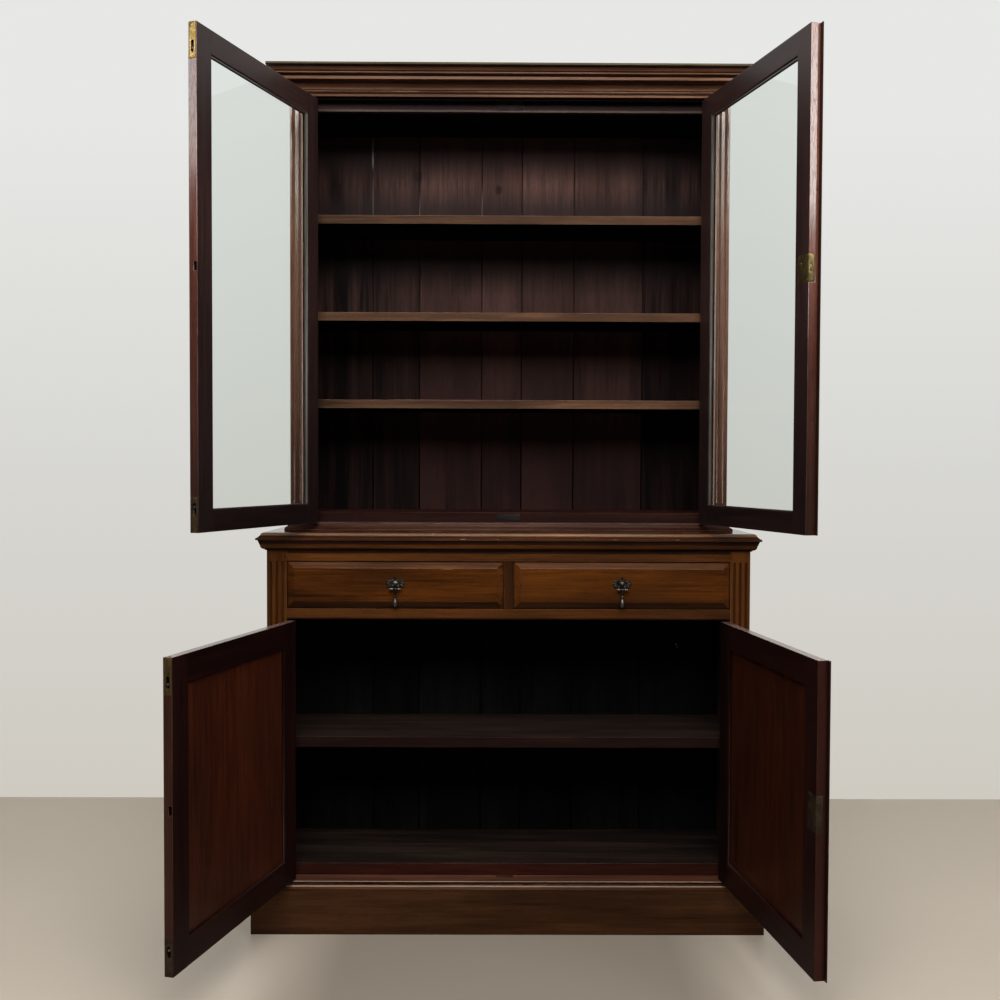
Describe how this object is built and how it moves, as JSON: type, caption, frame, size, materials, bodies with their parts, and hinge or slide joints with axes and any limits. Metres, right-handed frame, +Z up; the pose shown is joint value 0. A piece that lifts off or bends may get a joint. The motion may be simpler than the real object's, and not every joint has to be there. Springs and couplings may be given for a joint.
{
  "type": "bookcase with glass doors",
  "caption": "Tall wooden bookcase: glazed hinged doors above a counter with drawers and a panelled cupboard, on a plinth, with a moulded cornice, fluted pilasters and pear-drop pulls.",
  "frame": {"origin": "on the floor at the middle of the plinth, on the underside of its centre bearer", "axes": "+Z up, front with the doors towards -Y, +X to the right seen from the front"},
  "size_m": [1.3025, 0.8302, 2.098],
  "materials": {
    "base_mahogany": "old French-polished mahogany, satin",
    "cornice_mahogany": "darker polished mahogany with worn arrises",
    "door_mahogany": "dark stained mahogany, satin",
    "panel_mahogany": "reddish mahogany panel, satin",
    "drawer_mahogany": "warm figured mahogany, polished",
    "shelf_edge": "stained softwood, worn",
    "cupboard_inside": "dark stained boards, dull",
    "back_boards": "reddish brown stained boards with knots, dull",
    "drawer_lining": "unfinished softwood",
    "brass": "aged brass",
    "aged_brass": "dark bronzed brass",
    "glass": "clear old sheet glass"
  },
  "bodies": {
    "cabinet": {"plinth": "base_mahogany", "base_side_left": "base_mahogany", "base_side_right": "base_mahogany", "base_bottom": "cupboard_inside", "base_back": "cupboard_inside", "base_face_frame": "base_mahogany", "drawer_dustboard": "drawer_lining", "cupboard_shelf": "cupboard_inside", "counter_top": "base_mahogany", "upper_side_left": "cornice_mahogany", "upper_side_right": "cornice_mahogany", "upper_bottom": "cornice_mahogany", "upper_top": "back_boards", "upper_back": "back_boards", "upper_head_rail": "cornice_mahogany", "bolt_keep": "aged_brass", "cornice": "cornice_mahogany", "bookshelf_1": "shelf_edge", "bookshelf_2": "shelf_edge", "bookshelf_3": "shelf_edge"},
    "upper_door_left": {"upper_door_left_frame": "door_mahogany", "upper_door_left_glass": "glass", "upper_door_left_hinge_1": "aged_brass", "upper_door_left_hinge_2": "aged_brass", "upper_door_left_bolt_plate_top": "brass", "upper_door_left_bolt_plate_bottom": "brass"},
    "upper_door_left_bolt_top": {"upper_door_left_bolt_top": "brass"},
    "upper_door_left_bolt_bottom": {"upper_door_left_bolt_bottom": "brass"},
    "upper_door_right": {"upper_door_right_frame": "door_mahogany", "upper_door_right_glass": "glass", "upper_door_right_hinge_1": "aged_brass", "upper_door_right_hinge_2": "aged_brass", "upper_door_right_lock_case": "brass", "upper_door_right_pull_plate": "aged_brass"},
    "upper_door_right_lock_bolt": {"upper_door_right_lock_bolt": "brass"},
    "upper_door_right_pull_drop": {"upper_door_right_pull_drop": "aged_brass"},
    "lower_door_left": {"lower_door_left_frame": "door_mahogany", "lower_door_left_panel": "panel_mahogany", "lower_door_left_hinge_1": "aged_brass", "lower_door_left_hinge_2": "aged_brass", "lower_door_left_bolt_plate_top": "brass", "lower_door_left_bolt_plate_bottom": "brass"},
    "lower_door_left_bolt_top": {"lower_door_left_bolt_top": "brass"},
    "lower_door_left_bolt_bottom": {"lower_door_left_bolt_bottom": "brass"},
    "lower_door_right": {"lower_door_right_frame": "door_mahogany", "lower_door_right_panel": "panel_mahogany", "lower_door_right_hinge_1": "aged_brass", "lower_door_right_hinge_2": "aged_brass", "lower_door_right_lock_case": "brass", "lower_door_right_pull_plate": "aged_brass"},
    "lower_door_right_lock_bolt": {"lower_door_right_lock_bolt": "brass"},
    "lower_door_right_pull_drop": {"lower_door_right_pull_drop": "aged_brass"},
    "drawer_left": {"drawer_front_left": "drawer_mahogany", "drawer_box_left": "drawer_lining", "drawer_left_pull_plate": "aged_brass"},
    "drawer_left_pull_drop": {"drawer_left_pull_drop": "aged_brass"},
    "drawer_right": {"drawer_front_right": "drawer_mahogany", "drawer_box_right": "drawer_lining", "drawer_right_pull_plate": "aged_brass"},
    "drawer_right_pull_drop": {"drawer_right_pull_drop": "aged_brass"}
  },
  "joints": [
    {"name": "upper_door_left_swing", "type": "hinge", "parent": "cabinet", "child": "upper_door_left", "pos_m": [-0.489, -0.079, 1.5], "axis": [0, 0, -1], "range_deg": [-110.3, 54.7]},
    {"name": "upper_door_left_bolt_top_slide", "type": "slide", "parent": "upper_door_left", "child": "upper_door_left_bolt_top", "axis": [0, 0, 1], "range_m": [0, 0.012]},
    {"name": "upper_door_left_bolt_bottom_slide", "type": "slide", "parent": "upper_door_left", "child": "upper_door_left_bolt_bottom", "axis": [0, 0, -1], "range_m": [0, 0.012]},
    {"name": "upper_door_right_swing", "type": "hinge", "parent": "cabinet", "child": "upper_door_right", "pos_m": [0.489, -0.079, 1.5], "axis": [0, 0, 1], "range_deg": [-105.4, 59.6]},
    {"name": "upper_door_right_lock_throw", "type": "slide", "parent": "upper_door_right", "child": "upper_door_right_lock_bolt", "axis": [0.2656, -0.9641, 0], "range_m": [0, 0.008]},
    {"name": "upper_door_right_pull_swing", "type": "hinge", "parent": "upper_door_right", "child": "upper_door_right_pull_drop", "pos_m": [0.61718, -0.5229, 1.5], "axis": [0.2656, -0.9641, 0], "range_deg": [0, 80]},
    {"name": "lower_door_left_swing", "type": "hinge", "parent": "cabinet", "child": "lower_door_left", "pos_m": [-0.537, -0.13, 0.45], "axis": [0, 0, -1], "range_deg": [-105.7, 59.3]},
    {"name": "lower_door_left_bolt_top_slide", "type": "slide", "parent": "lower_door_left", "child": "lower_door_left_bolt_top", "axis": [0, 0, 1], "range_m": [0, 0.012]},
    {"name": "lower_door_left_bolt_bottom_slide", "type": "slide", "parent": "lower_door_left", "child": "lower_door_left_bolt_bottom", "axis": [0, 0, -1], "range_m": [0, 0.012]},
    {"name": "lower_door_right_swing", "type": "hinge", "parent": "cabinet", "child": "lower_door_right", "pos_m": [0.537, -0.13, 0.45], "axis": [0, 0, 1], "range_deg": [-98.4, 66.6]},
    {"name": "lower_door_right_lock_throw", "type": "slide", "parent": "lower_door_right", "child": "lower_door_right_lock_bolt", "axis": [0.1461, -0.9893, 0], "range_m": [0, 0.008]},
    {"name": "lower_door_right_pull_swing", "type": "hinge", "parent": "lower_door_right", "child": "lower_door_right_pull_drop", "pos_m": [0.61714, -0.6337, 0.423], "axis": [0.1461, -0.9893, 0], "range_deg": [0, 80]},
    {"name": "drawer_left_slide", "type": "slide", "parent": "cabinet", "child": "drawer_left", "axis": [0, -1, 0], "range_m": [0, 0.2]},
    {"name": "drawer_left_pull_swing", "type": "hinge", "parent": "drawer_left", "child": "drawer_left_pull_drop", "pos_m": [-0.27475, -0.1357, 0.834], "axis": [-1, 0, 0], "range_deg": [0, 80]},
    {"name": "drawer_right_slide", "type": "slide", "parent": "cabinet", "child": "drawer_right", "axis": [0, -1, 0], "range_m": [0, 0.2]},
    {"name": "drawer_right_pull_swing", "type": "hinge", "parent": "drawer_right", "child": "drawer_right_pull_drop", "pos_m": [0.27475, -0.1357, 0.834], "axis": [-1, 0, 0], "range_deg": [0, 80]}
  ]
}
